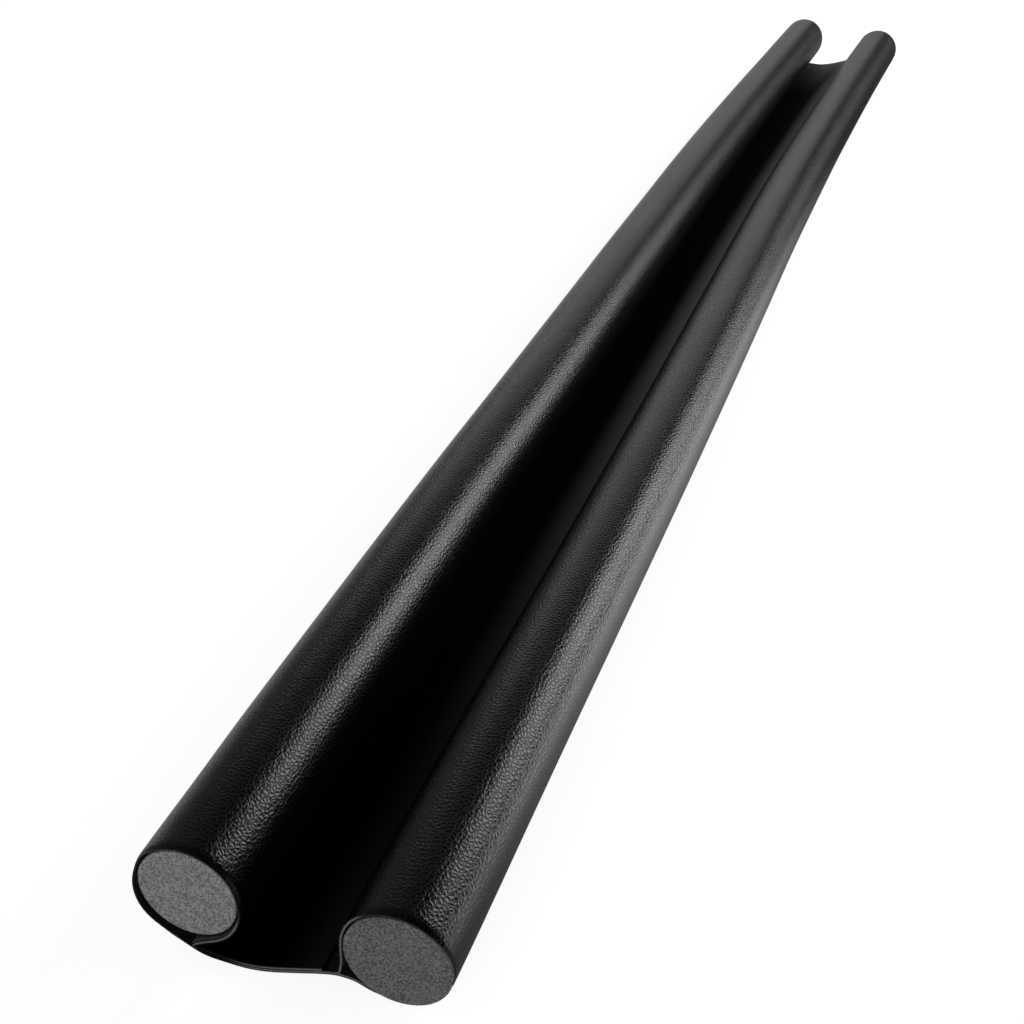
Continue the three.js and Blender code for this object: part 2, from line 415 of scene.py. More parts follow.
    def lower_ply(self):
        """From the left sleeve's foot to the right sleeve, along the floor and up."""
        cloth = self.s.cloth
        first, second = [self.right.outside(turn, cloth) for turn in self.right_turns[:2]]
        run = (second - first).normalized() * cloth
        lower = [Vector((p.x, max(p.y, 0))) for p in self.underside[1:]]
        lower += bezier(self.crest, self.crest + Vector((cloth, 0)), first - run, first, 6)[1:-1]
        inner = offset_line([self.foot] + lower + [first], cloth)[1:-1]
        found = []
        for a, b in zip(lower, inner):
            seam = math.exp(-((a - self.left_corner).length / self.SEAM_REACH) ** 2)
            found.append(Station(a, b.lerp(a, 0.35 * seam), pale=max(self.web_pale(a.x), 0.02)))
        return found

    def right_sleeve(self):
        """Round the right rod, from the web's lower ply to the flange."""
        line = []
        for turn in self.right_turns:
            line.append(Station(
                self.right.outside(turn, self.s.cloth), self.right.inside(turn),
                roll=between(turn, *self.RIGHT_ROLL), pale=max(1 - between(turn, *self.RIGHT_DARK), 0.08),
                sleeve=self.right.held(turn)))
        return line

    def flange(self):
        """From the right seam to under the lap, thinned towards its hidden edge."""
        s, cloth = self.s, self.s.cloth
        last = self.right_turns[-1]
        outer, inner = self.right.outside(last, cloth), self.right.inside(last)
        bend = self.right_corner + Vector((-cloth, cloth / 2))
        line = [Station(outer.lerp(bend, 0.6), inner.lerp(self.right_corner, 0.7)),
                Station(bend + Vector((0.1, -0.2)) * cloth, self.right_corner + Vector((-0.2, -0.5)) * cloth)]
        thin = 0.3 * cloth
        xs = spread(self.crest.x - cloth, self.lap_edge - s.lap, 9)
        for i, x in enumerate(xs):
            height = thin + (0.6 * cloth - thin) * (1 - fade(i, 0, 4))
            low = height_on(self.underside, x) + cloth + 0.03 * MM
            line.append(Station(Vector((x, low + height)), Vector((x, low)), pale=0.3))
        return line

    def stations(self):
        return (self.upper_ply() + self.left_sleeve() + self.lower_ply() + self.right_sleeve()
                + self.flange())

    def allowance_stations(self):
        """The folded cloth between the left rod and its sleeve's inner wall."""
        s = self.s
        start = self.left_corner + Vector((0.7, 0.45)) * s.cloth
        end = self.left.outside(self.WEDGE_TURN, s.allowance - 0.1 * MM)
        line = []
        for turn in spread(math.radians(1.5), math.radians(68), 24):
            if turn < self.WEDGE_TURN:
                outer = start.lerp(end, turn / self.WEDGE_TURN)
            else:
                outer = self.left.outside(turn, max(s.allowance * self.folded(turn) - 0.1 * MM, 0.06 * MM))
            line.append(Station(outer, self.left.outside(turn, 0.02 * MM), pale=0.22,
                                sleeve=self.left.held(turn)))
        return line


class Layout:
    """Lays the section along the piece, straight at first and then in a slight curve."""
    NARROW_FROM = 0.6  # share of the length from which rods and sleeves get thinner

    def __init__(self, s, section):
        self.s = s
        play = Vector((math.cos(LEFT_BEARING), math.sin(LEFT_BEARING))) * (s.ease - s.touch)
        self.shift = LEFT_ROD[0] - (section.left.centre + play).x

    def narrowed(self, along):
        """How much thinner a rod and its sleeve are at a distance along the piece."""
        return self.s.narrowing * fade(along, self.NARROW_FROM * self.s.length, self.s.length)

    def place(self, p, along):
        """A point of the section, p.x across and p.y up, at a distance along the piece."""
        s = self.s
        bent = max(0, along - s.bend_start) / (s.length - s.bend_start)
        side = min(max(2 * p.x / s.door_gap, -1), 1)
        wander = smooth_through(LEFT_WANDER if side < 0 else RIGHT_WANDER, along / MM) * MM
        x = p.x - side * bent * s.squeeze / 2 + wander * fade(abs(side), 0, 1)
        yaw = math.atan(2 * s.bend_offset * bent / (s.length - s.bend_start))
        return Vector((s.bend_offset * bent ** 2 + x * math.cos(yaw) + self.shift,
                       along - x * math.sin(yaw) + NEAR_END, max(p.y, 0)))


def ring_places(total, count):
    """Distances along a piece, with a few close rings at both cut ends."""
    near = [e * MM for e in (0, 0.15, 0.35, 0.65, 1.1, 1.8, 3, 5)]
    middle = spread(near[-1] + 3 * MM, total - near[-1] - 3 * MM, count)
    return near + middle + [total - e for e in near[::-1]]


def line_lengths(points):
    """Distance of each point along its line."""
    found = [0]
    for a, b in zip(points, points[1:]):
        found.append(found[-1] + (b - a).length)
    return found


class ClothMesh:
    """Vertices and faces of strips of cloth. Each strip has a coated face, a back and cut edges."""
    COATED, BACK, CUT, WEB = range(4)
    SKIN = 0.42  # share of the thickness that the coat shows at a cut edge
    ROLL, ROLL_REACH = 0.82, 0.75 * MM  # how much of the thickness rolls in, and from how far
    PUFF_REACH = 12 * MM  # distance from a cut end in which the sleeves reach their full puff
    WAVES_ROUND, WAVES_ALONG = 22, 9  # soft waves in a metre of cloth
    GATHERS, GATHER_REACH = 60, 7 * MM  # gathers in a metre of seam, and how far they reach
    GATHERS_FROM, GATHERS_FULL = 5 * MM, 12 * MM  # heights between which the gathers grow

    def __init__(self, section, layout):
        self.section, self.layout, self.s = section, layout, section.s
        self.verts, self.faces, self.slots, self.uvs, self.pale = [], [], [], [], []

    def stand_off(self, station, flat, along):
        """How far a place on the cloth stands out from the drawn section."""
        s = self.s
        from_end = min(along, s.length - along)
        puff = s.puff + (s.end_puff - s.puff) * math.exp(-from_end / self.PUFF_REACH)
        soft = noise.noise(Vector((flat * self.WAVES_ROUND, along * self.WAVES_ALONG, 3.1)))
        gathers = 0  # each seam has its own, told apart by its place across
        for seam in (self.section.left_corner, self.section.right_corner):
            near = math.exp(-((station.coated - seam).length / self.GATHER_REACH) ** 2)
            gathers += near * noise.noise(Vector((along * self.GATHERS, seam.x * 900, 0.7)))
        raised = fade(station.coated.y, self.GATHERS_FROM, self.GATHERS_FULL)
        return station.sleeve * (puff + s.pucker * soft) + s.seam_pucker * gathers * raised

    def add_strip(self, stations, rings):
        """Lays a line of stations along the piece, one ring of points at each place."""
        base, count = len(self.verts), len(stations)
        flat = line_lengths([station.coated for station in stations])
        for along in rings:
            from_end = min(along, self.s.length - along)
            rolled = self.ROLL * math.exp(-(from_end / self.ROLL_REACH) ** 2)
            narrow = self.layout.narrowed(along)
            rows = [[], [], []]
            for station, u in zip(stations, flat):
                out = station.coated - station.back
                thick = out.length * (1 - rolled * station.roll)
                out.normalize()
                lift = self.stand_off(station, u, along) - narrow * station.sleeve
                drop = Vector((0, -narrow * station.sleeve))
                for row, depth in enumerate((thick, thick * (1 - self.SKIN), 0)):
                    rows[row].append(self.layout.place(station.back + out * (depth + lift) + drop, along))
            for row in rows:
                self.verts += row
                self.uvs += [(u, along) for u in flat]
                self.pale += [station.pale for station in stations]
        self.add_faces(base, count, len(rings), stations)

    def add_faces(self, base, count, rings, stations):
        """Joins the points of a strip. Rows 0, 1 and 2 run from its coated face to its back."""
        def at(ring, row, i):
            return base + (ring * 3 + row) * count + i

        def face(slot, *corners):
            self.faces.append([at(*corner) for corner in corners])
            self.slots.append(slot)

        last, end = rings - 1, count - 1
        skins = (self.COATED, self.CUT)
        for i in range(end):
            top = self.WEB if stations[i].web and stations[i + 1].web else self.COATED
            for r in range(last):
                face(top, (r, 0, i), (r, 0, i + 1), (r + 1, 0, i + 1), (r + 1, 0, i))
                face(self.BACK, (r, 2, i + 1), (r, 2, i), (r + 1, 2, i), (r + 1, 2, i + 1))
            for row, slot in enumerate(skins):
                face(slot, (0, row, i), (0, row + 1, i), (0, row + 1, i + 1), (0, row, i + 1))
                face(slot, (last, row + 1, i), (last, row, i), (last, row, i + 1), (last, row + 1, i + 1))
        for r in range(last):
            for row, slot in enumerate(skins):
                face(slot, (r, row + 1, 0), (r, row, 0), (r + 1, row, 0), (r + 1, row + 1, 0))
                face(slot, (r, row, end), (r, row + 1, end), (r + 1, row + 1, end), (r + 1, row, end))


def mesh_object(name, verts, faces, slots, uvs, materials, pale=()):
    """A new object at the origin from vertices, faces, material slots and flat coordinates."""
    mesh = bpy.data.meshes.new(name)
    mesh.from_pydata([tuple(v) for v in verts], [], faces)
    for material in materials:
        mesh.materials.append(material)
    mesh.polygons.foreach_set("material_index", slots)
    layer = mesh.uv_layers.new(name="cloth")
    corners = [0] * len(mesh.loops)
    mesh.loops.foreach_get("vertex_index", corners)
    layer.data.foreach_set("uv", [c for v in corners for c in uvs[v]])
    if pale:
        mesh.attributes.new("pale", "FLOAT", "POINT").data.foreach_set("value", pale)
    mesh.update()
    piece = bpy.data.objects.new(name, mesh)
    bpy.context.scene.collection.objects.link(piece)
    bpy.ops.object.select_all(action="DESELECT")
    piece.select_set(True)
    bpy.context.view_layer.objects.active = piece
    bpy.ops.object.shade_smooth_by_angle(angle=SMOOTH_UP_TO)
    return piece


# Materials

def add_node(tree, kind, **settings):
    """A new node with some of its properties set."""
    made = tree.nodes.new(kind)
    for key, value in settings.items():
        setattr(made, key, value)
    return made


def link(tree, source, target):
    tree.links.new(source, target)


def maths(tree, operation, a, b=None, c=None, clamp=False):
    """A Math node whose inputs are sockets or numbers. Gives its output."""
    made = add_node(tree, "ShaderNodeMath", operation=operation, use_clamp=clamp)
    for i, value in enumerate((a, b, c)):
        if value is None:
            continue
        if isinstance(value, (int, float)):
            made.inputs[i].default_value = value
        else:
            link(tree, value, made.inputs[i])
    return made.outputs[0]


def range_map(tree, value, low, high, to_low, to_high, smooth=True):
    """A Map Range node from one range to another. Gives its output."""
    made = add_node(tree, "ShaderNodeMapRange")
    made.interpolation_type = "SMOOTHSTEP" if smooth else "LINEAR"
    link(tree, value, made.inputs["Value"])
    for key, number in zip(("From Min", "From Max", "To Min", "To Max"), (low, high, to_low, to_high)):
        made.inputs[key].default_value = number
    return made.outputs["Result"]


def noise_of(tree, vector, scale, detail=2.0, roughness=0.5, output="Fac"):
    """A Noise node on a vector. Gives its output."""
    made = add_node(tree, "ShaderNodeTexNoise")
    made.inputs["Scale"].default_value = scale
    made.inputs["Detail"].default_value = detail
    made.inputs["Roughness"].default_value = roughness
    link(tree, vector, made.inputs["Vector"])
    return made.outputs[output]


def group(name, inputs, outputs):
    """An empty node group with named sockets. Gives the group, its input node and its output node."""
    made = bpy.data.node_groups.new(name, "ShaderNodeTree")
    for socket, kind, default in inputs:
        item = made.interface.new_socket(name=socket, in_out="INPUT", socket_type=kind)
        if default is not None:
            item.default_value = default
    for socket, kind in outputs:
        made.interface.new_socket(name=socket, in_out="OUTPUT", socket_type=kind)
    return made, made.nodes.new("NodeGroupInput"), made.nodes.new("NodeGroupOutput")


def pebbled_grain():
    """Leather grain on flat coordinates in metres: raised cells parted by creases."""
    tree, given, result = group(
        "Pebbled grain",
        [("Vector", "NodeSocketVector", None), ("Cell", "NodeSocketFloat", 0.00125),
         ("Stretch", "NodeSocketFloat", 1.7)],
        [("Height", "NodeSocketFloat"), ("Crease", "NodeSocketFloat")])
    parts = add_node(tree, "ShaderNodeSeparateXYZ")
    link(tree, given.outputs["Vector"], parts.inputs[0])
    squashed = maths(tree, "DIVIDE", parts.outputs[1], given.outputs["Stretch"])
    joined = add_node(tree, "ShaderNodeCombineXYZ")
    link(tree, parts.outputs[0], joined.inputs[0])
    link(tree, squashed, joined.inputs[1])
    scaled = add_node(tree, "ShaderNodeVectorMath", operation="SCALE")
    link(tree, joined.outputs[0], scaled.inputs[0])
    link(tree, maths(tree, "DIVIDE", 1.0, given.outputs["Cell"]), scaled.inputs["Scale"])
    place = scaled.outputs[0]
    drift = add_node(tree, "ShaderNodeVectorMath", operation="MULTIPLY_ADD")
    link(tree, noise_of(tree, place, 0.7, 1, 0.5, "Color"), drift.inputs[0])
    drift.inputs[1].default_value = (0.6, 0.6, 0)
    link(tree, place, drift.inputs[2])
    bent = drift.outputs[0]

    def edges(scale):
        voronoi = add_node(tree, "ShaderNodeTexVoronoi", feature="DISTANCE_TO_EDGE")
        voronoi.voronoi_dimensions = "2D"
        voronoi.inputs["Scale"].default_value = scale
        link(tree, bent, voronoi.inputs["Vector"])
        return voronoi.outputs["Distance"]

    large, small = edges(0.78), edges(1.4)
    crease_width, dome_width = 0.22, 0.6  # in cells
    crease = maths(tree, "MULTIPLY", range_map(tree, small, 0.0, crease_width, 1.0, 0.0), 0.3)
    crease = maths(tree, "MAXIMUM", crease, range_map(tree, large, 0.0, crease_width, 1.0, 0.0))
    stretched = add_node(tree, "ShaderNodeVectorMath", operation="MULTIPLY")
    link(tree, place, stretched.inputs[0])
    stretched.inputs[1].default_value = (1.0, 0.2, 1.0)
    wrinkles = noise_of(tree, stretched.outputs[0], 0.7, 2)
    height = maths(tree, "MULTIPLY", range_map(tree, large, 0.0, dome_width, 0.0, 1.0), 0.9)
    height = maths(tree, "SUBTRACT", height, maths(tree, "MULTIPLY", crease, 0.45))
    height = maths(tree, "MULTIPLY_ADD", wrinkles, 1.1, height)
    height = maths(tree, "MULTIPLY_ADD", noise_of(tree, place, 0.28, 1), 0.7, height)
    link(tree, height, result.inputs["Height"])
    link(tree, crease, result.inputs["Crease"])
    return tree


def new_material(name):
    """A new material with its tree and its shader."""
    material = bpy.data.materials.new(name)
    material.use_nodes = True
    return material, material.node_tree, material.node_tree.nodes["Principled BSDF"]


def flat_place(tree):
    """The cloth's own flat coordinates."""
    return add_node(tree, "ShaderNodeUVMap", uv_map="cloth").outputs["UV"]


def colour_between(tree, factor, dark, light):
    """A mix of two colours. Gives its output."""
    made = add_node(tree, "ShaderNodeMix", data_type="RGBA")
    link(tree, factor, made.inputs["Factor"])
    made.inputs[6].default_value = (*dark, 1)
    made.inputs[7].default_value = (*light, 1)
    return made.outputs[2]


def times(rgb, factor):
    """A colour made darker or lighter."""
    return tuple(min(1.0, c * factor) for c in rgb)


def bumped(tree, shader, height, distance):
    """Gives a shader a surface with a pattern of the given depth."""
    bump = add_node(tree, "ShaderNodeBump")
    bump.inputs["Distance"].default_value = distance
    link(tree, height, bump.inputs["Height"])
    link(tree, bump.outputs["Normal"], shader.inputs["Normal"])


PATCHES = 26  # faint uneven patches in a metre of coated cloth


def coated_material(name, roughness, gloss, finish, grain):
    """A pebbled coated face without its colour: the material, its tree, its shader, its coordinates."""
    material, tree, shader = new_material(name)
    shader.inputs["Specular IOR Level"].default_value = gloss
    uv = flat_place(tree)
    pebbles = add_node(tree, "ShaderNodeGroup", node_tree=grain)
    pebbles.inputs["Cell"].default_value = finish.cell
    pebbles.inputs["Stretch"].default_value = finish.stretch
    link(tree, uv, pebbles.inputs["Vector"])
    patches = noise_of(tree, uv, PATCHES, 3)
    rough = maths(tree, "MULTIPLY_ADD", pebbles.outputs["Crease"], 0.2, roughness)
    rough = maths(tree, "MULTIPLY_ADD", range_map(tree, patches, 0.25, 0.75, -1.0, 1.0), 0.02, rough)
    link(tree, rough, shader.inputs["Roughness"])
    bumped(tree, shader, pebbles.outputs["Height"], finish.depth)
    return material, tree, shader, uv


def sleeve_material(finish, grain):
    """The coated face of the sleeves: near black with a satin gloss."""
    material, tree, shader, uv = coated_material("coated_face", finish.roughness, 0.5, finish, grain)
    tone = range_map(tree, noise_of(tree, uv, PATCHES, 3), 0.3, 0.7, 0.0, 1.0)
    link(tree, colour_between(tree, tone, times(finish.coat, 0.8), times(finish.coat, 1.25)),
         shader.inputs["Base Color"])
    return material


def web_material(finish, grain):
    """The web's upper face: matt black, with painted light that makes it paler towards the lap edge and the
    far end.
    """
    material, tree, shader, uv = coated_material("web_face", 0.6, 0.04, finish, grain)
    place = add_node(tree, "ShaderNodeSeparateXYZ")
    link(tree, uv, place.inputs[0])
    across, along = place.outputs[0], place.outputs[1]
    # Painted light: the web is painted paler beside the lap edge, more so further along the piece
    painted_light_width, painted_light_from, painted_light_full = 15 * MM, 0.05, 0.72
    end_from, end_full, end_pale = 0.9, 1.0, 0.4
    end_strip, end_fades = 12 * MM, 30 * MM
    web_painted_light = maths(tree, "MULTIPLY", range_map(tree, across, 0.0, painted_light_width, 1.0, 0.0),
                range_map(tree, along, painted_light_from, painted_light_full, 0.04, 1.0))
    # Painted light at the far end, with painted shadow of the left sleeve keeping the corner by the left seam
    # darker
    end = maths(tree, "MULTIPLY", range_map(tree, along, end_from, end_full, 0.0, end_pale),
                range_map(tree, across, end_strip, end_fades, 1.0, 0.25))
    link(tree, colour_between(tree, maths(tree, "MAXIMUM", web_painted_light, end), finish.web, finish.web_painted_light),
         shader.inputs["Base Color"])
    return material


def backing_material(finish):
    """The woven back of the cloth."""
    material, tree, shader = new_material("woven_back")
    uv = flat_place(tree)
    bands = []
    for direction in ("X", "Y"):
        wave = add_node(tree, "ShaderNodeTexWave", wave_type="BANDS", bands_direction=direction)
        wave.inputs["Scale"].default_value = 420
        wave.inputs["Distortion"].default_value = 1.5
        link(tree, uv, wave.inputs["Vector"])
        bands.append(wave.outputs["Fac"])
    threads = maths(tree, "MAXIMUM", *bands)
    link(tree, colour_between(tree, threads, times(finish.backing, 0.6), times(finish.backing, 1.3)),
         shader.inputs["Base Color"])
    shader.inputs["Roughness"].default_value = 0.9
    shader.inputs["Sheen Weight"].default_value = 0.1
    bumped(tree, shader, threads, 0.1 * MM)
    return material


def cut_material(finish):
    """The cloth's cut edge, where the pale core of the coated cloth shows."""
    material, tree, shader = new_material("cut_edge")
    coords = add_node(tree, "ShaderNodeTexCoord").outputs["Object"]
    fibres = noise_of(tree, coords, 2600, 3, 0.6)
    pale = add_node(tree, "ShaderNodeAttribute", attribute_name="pale").outputs["Fac"]
    tone = maths(tree, "MULTIPLY", pale, range_map(tree, fibres, 0.35, 0.7, 0.6, 1.0))
    link(tree, colour_between(tree, tone, finish.coat, times(finish.cut, 1.2)), shader.inputs["Base Color"])
    shader.inputs["Roughness"].default_value = 0.85
    shader.inputs["Specular IOR Level"].default_value = 0.2
    bumped(tree, shader, fibres, 0.08 * MM)
    return material


def foam_pores():
    """Foam on Object coordinates: small open cells with thin pale walls."""
    tree, given, result = group(
        "Foam pores",
        [("Vector", "NodeSocketVector", None), ("Pore", "NodeSocketFloat", 0.0007)],
        [("Height", "NodeSocketFloat"), ("Tone", "NodeSocketFloat")])
    scaled = add_node(tree, "ShaderNodeVectorMath", operation="SCALE")
    link(tree, given.outputs["Vector"], scaled.inputs[0])
    link(tree, maths(tree, "DIVIDE", 1.0, given.outputs["Pore"]), scaled.inputs["Scale"])
    place = scaled.outputs[0]
    drift = add_node(tree, "ShaderNodeVectorMath", operation="MULTIPLY_ADD")
    link(tree, noise_of(tree, place, 1.1, 2, 0.5, "Color"), drift.inputs[0])
    drift.inputs[1].default_value = (0.9, 0.9, 0.9)
    link(tree, place, drift.inputs[2])
    cells = add_node(tree, "ShaderNodeTexVoronoi", feature="F1")
    link(tree, drift.outputs[0], cells.inputs["Vector"])
    cells.inputs["Scale"].default_value = 1.0  # one cell to a pore
    walls = range_map(tree, cells.outputs["Distance"], 0.15, 0.75, 0.0, 1.0)
    grit = noise_of(tree, place, 1.5, 3, 0.6)
    patches = noise_of(tree, place, 0.22, 2)
    tone = maths(tree, "MULTIPLY", walls, 0.3)
    tone = maths(tree, "MULTIPLY_ADD", grit, 1.0, tone)
    tone = maths(tree, "MULTIPLY_ADD", patches, 0.3, tone)
    link(tree, range_map(tree, tone, 0.45, 1.15, 0.0, 1.0), result.inputs["Tone"])
    link(tree, maths(tree, "MULTIPLY_ADD", grit, 0.8, walls), result.inputs["Height"])
    return tree


def foam_material(name, tint, finish, pores):
    """Grey foam with open pores."""
    material, tree, shader = new_material(name)
    coords = add_node(tree, "ShaderNodeTexCoord").outputs["Object"]
    cells = add_node(tree, "ShaderNodeGroup", node_tree=pores)
    cells.inputs["Pore"].default_value = finish.pore
    link(tree, coords, cells.inputs["Vector"])
    cut = add_node(tree, "ShaderNodeSeparateXYZ")
    link(tree, add_node(tree, "ShaderNodeTexCoord").outputs["Normal"], cut.inputs[0])
    # Painted shade: the rod's side and soft rim are painted darker than its cut end
    side_painted_shade = range_map(tree, maths(tree, "ABSOLUTE", cut.outputs["Y"]), 0.3, 0.9, 0.3, 1.0)
    tone = maths(tree, "MULTIPLY", cells.outputs["Tone"], side_painted_shade)
    link(tree, colour_between(tree, tone, times(tint, 0.4), times(tint, 1.65)), shader.inputs["Base Color"])
    shader.inputs["Roughness"].default_value = 0.95
    shader.inputs["Sheen Weight"].default_value = 0.15
    bumped(tree, shader, cells.outputs["Height"], 0.12 * MM)
    return material


SWELL_REACH = 9 * MM  # distance from a near end in which its swelling dies away
SWELL_SAG = 0.25  # how far a swollen end sags, as a share of its swelling
PITS = 1500  # pores in a metre of foam, as the mesh has them


def rod_rings(first, last, sizes):
    """Rings of a rod from its near face to its far one: place, share of the radius, part of a face."""
    face = [(0, j / sizes.end_rings, True) for j in range(1, sizes.end_rings)]
    face.append((0, 1, True))
    for angle in (30, 60, 90):
        depth = sizes.rim * (1 - math.cos(math.radians(angle)))
        face.append((depth, 1 + sizes.rim / ROD_RADIUS * math.sin(math.radians(angle)), False))
    near = [(first + depth, part, flat) for depth, part, flat in face]
    body = [(first + step * MM, 1 + sizes.rim / ROD_RADIUS, False) for step in (1.5, 3, 5, 8, 12)]
    places = spread(first + 20 * MM, last - 3 * MM, 90)
    body += [(along, 1 + sizes.rim / ROD_RADIUS, False) for along in places]
    far = [(last - depth, part, flat) for depth, part, flat in face[::-1]]
    return near + body + far


def rod_mesh(name, centre, swell, proud, layout, s, sizes, material):
    """A foam rod with soft rims and porous cut ends, laid along the piece."""
    sides = sizes.sides
    first, last = -proud, s.length - sizes.far_recess
    rings = rod_rings(first, last, sizes)

    def surface(along, part, angle, flat):
        narrow = layout.narrowed(along)
        wider = swell * math.exp(-max(along, 0) / SWELL_REACH)
        radius = ROD_RADIUS + wider - narrow - sizes.rim
        way = Vector((math.cos(angle), math.sin(angle)))
        middle = centre - Vector((0, narrow + SWELL_SAG * wider))
        p = middle + way * radius * part
        pit = sizes.pore_depth * noise.fractal(Vector((p.x, along, p.y)) * PITS, 1.0, 2.0, 3)
        if not flat:
            return layout.place(p + way * pit * 0.4, along)
        inward = 1 if along < s.length / 2 else -1
        return layout.place(p, along) + Vector((0, inward * pit * 0.5, 0))

    verts = [surface(first, 0, 0, True)]
    for along, part, flat in rings:
        verts += [surface(along, part, math.tau * i / sides, flat) for i in range(sides)]
    verts.append(surface(last, 0, 0, True))
    tail, end = len(verts) - 1 - sides, len(verts) - 1
    faces = []
    for i in range(sides):
        beside = (i + 1) % sides
        faces.append((0, 1 + i, 1 + beside))
        faces.append((tail + i, end, tail + beside))
        for r in range(len(rings) - 1):
            a, b = 1 + r * sides + i, 1 + r * sides + beside
            faces.append((a, a + sides, b + sides, b))
    uvs = [(v.x, v.y) for v in verts]
    return mesh_object(name, verts, faces, [0] * len(faces), uvs, [material])


class STOPPER_OT_add_cover(bpy.types.Operator):
    """Folds the sheet of coated cloth into its two sleeves and the web between them"""
    bl_idname = "stopper.add_cover"
    bl_label = "Add Cover"

    def execute(self, context):
        s = context.scene.stopper_cover
        finish = context.scene.stopper_leather
        section = Section(s)
        cloth = ClothMesh(section, Layout(s, section))
        rings = ring_places(s.length, s.rings)
        cloth.add_strip(section.stations(), rings)
        cloth.add_strip(section.allowance_stations(), rings)
        grain = pebbled_grain()
        materials = [
            sleeve_material(finish, grain),
            backing_material(finish),
            cut_material(finish),
            web_material(finish, grain),
        ]
        cover = mesh_object("stopper_cover", cloth.verts, cloth.faces, cloth.slots, cloth.uvs, materials,
                            cloth.pale)
        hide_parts("cover")
        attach(cover, "root")
        return {"FINISHED"}


class STOPPER_OT_add_foam_rods(bpy.types.Operator):
    """Makes the two foam rods inside the sleeves"""
    bl_idname = "stopper.add_foam_rods"
    bl_label = "Add Foam Rods"

    def execute(self, context):
        s = context.scene.stopper_cover
        sizes = context.scene.stopper_rods
        finish = context.scene.stopper_foam
        section = Section(s)
        layout = Layout(s, section)
        pores = foam_pores()
        rods = (("left", LEFT_ROD, finish.left, sizes.left_swell, sizes.left_proud),
                ("right", RIGHT_ROD, finish.right, sizes.right_swell, sizes.right_proud))
        for side, circle, tint, swell, proud in rods:
            centre = Vector((circle[0] - layout.shift, circle[1]))
            material = foam_material(f"foam_{side}", tint, finish, pores)
            rod = rod_mesh(f"rod_{side}", centre, swell, proud, layout, s, sizes, material)
            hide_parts(f"foam_rod_{side}")
            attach(rod, "root")
        return {"FINISHED"}


class STOPPER_OT_add_stage(bpy.types.Operator):
    """Adds the pale floor, the soft lights, the surroundings and the camera"""
    bl_idname = "stopper.add_stage"
    bl_label = "Add Stage"

    def execute(self, context):
        stage = context.scene.stopper_stage
        add_floor(stage)
        add_lights(stage)
        add_surroundings(stage)
        add_camera(stage)
        context.scene.view_settings.view_transform = "Standard"
        return {"FINISHED"}


def mirrored_floor(tree, x, y, stage):
    """Painted reflections: what gloss mirrors of the floor, its glow at a place and how far its own colour is
    darkened there.
    """
    right = range_map(tree, x, 0.03, 0.13, 0.0, 1.0)
    near = range_map(tree, y, -0.1, 0.32, 1.0, 0.0)
    past_end = range_map(tree, y, -0.52, -0.3, 0.1, 1.0)
    left = range_map(tree, x, -0.1, -0.02, 0.35, 0.0)
    sheen = maths(tree, "MULTIPLY", maths(tree, "MULTIPLY", right, near), past_end)
    glow = maths(tree, "MULTIPLY_ADD", sheen, stage.floor_sheen, left)
    dim = maths(tree, "MULTIPLY", range_map(tree, x, 0.0, 0.08, 0.0, 1.0),
                range_map(tree, y, 0.0, 0.25, 0.0, 1.0))
    return glow, dim


def add_floor(stage):
    """A floor that looks white to the camera, keeps a soft shadow and gives gloss its own picture."""
    bpy.ops.object.select_all(action="DESELECT")
    bpy.ops.mesh.primitive_plane_add(size=stage.floor_size, location=(0, 0, -0.1 * MM))
    floor = bpy.context.object
    floor.name = "floor"
    material = bpy.data.materials.new("pale_floor")
    material.use_nodes = True
    tree = material.node_tree
    tree.nodes.clear()
    output = add_node(tree, "ShaderNodeOutputMaterial")
    diffuse = add_node(tree, "ShaderNodeBsdfDiffuse")
    glow = add_node(tree, "ShaderNodeEmission")
    path = add_node(tree, "ShaderNodeLightPath")
    seen = maths(tree, "MAXIMUM", path.outputs["Is Camera Ray"], path.outputs["Is Transmission Ray"])
    coords = add_node(tree, "ShaderNodeTexCoord").outputs["Object"]
    place = add_node(tree, "ShaderNodeSeparateXYZ")
    link(tree, coords, place.inputs[0])
    mirrored, dim = mirrored_floor(tree, place.outputs["X"], place.outputs["Y"], stage)
    # Only gloss sees this glow and this darkened colour: painted reflections in the cloth
    mirrored = maths(tree, "MULTIPLY", path.outputs["Is Glossy Ray"], mirrored)
    dim = maths(tree, "MULTIPLY", path.outputs["Is Glossy Ray"], dim)
    link(tree, colour_between(tree, dim, stage.floor, times(stage.floor, 0.25)), diffuse.inputs["Color"])
    away = add_node(tree, "ShaderNodeVectorMath", operation="LENGTH")
    link(tree, coords, away.inputs[0])
    near_floor, far_floor = 1.5, 4.0
    white = range_map(tree, away.outputs["Value"], near_floor, far_floor, stage.lift, 1.0)
    link(tree, maths(tree, "MAXIMUM", maths(tree, "MULTIPLY", seen, white), mirrored),
         glow.inputs["Strength"])
    both = add_node(tree, "ShaderNodeAddShader")
    link(tree, diffuse.outputs[0], both.inputs[0])
    link(tree, glow.outputs[0], both.inputs[1])
    link(tree, both.outputs[0], output.inputs["Surface"])
    floor.data.materials.append(material)


def add_area(name, width, height, place, target, level, tilt=0):
    """A soft rectangular light whose face has the given brightness."""
    bpy.ops.object.light_add(type="AREA", location=place)
    light = bpy.context.object
    light.name = name
    light.data.shape = "RECTANGLE"
    light.data.size = width
    light.data.size_y = height
    light.data.energy = level * math.pi * width * height
    facing = (Vector(target) - Vector(place)).to_track_quat("-Z", "Y")
    light.rotation_euler = (facing @ Quaternion((0, 0, 1), tilt)).to_euler()
    light.visible_camera = False
    return light


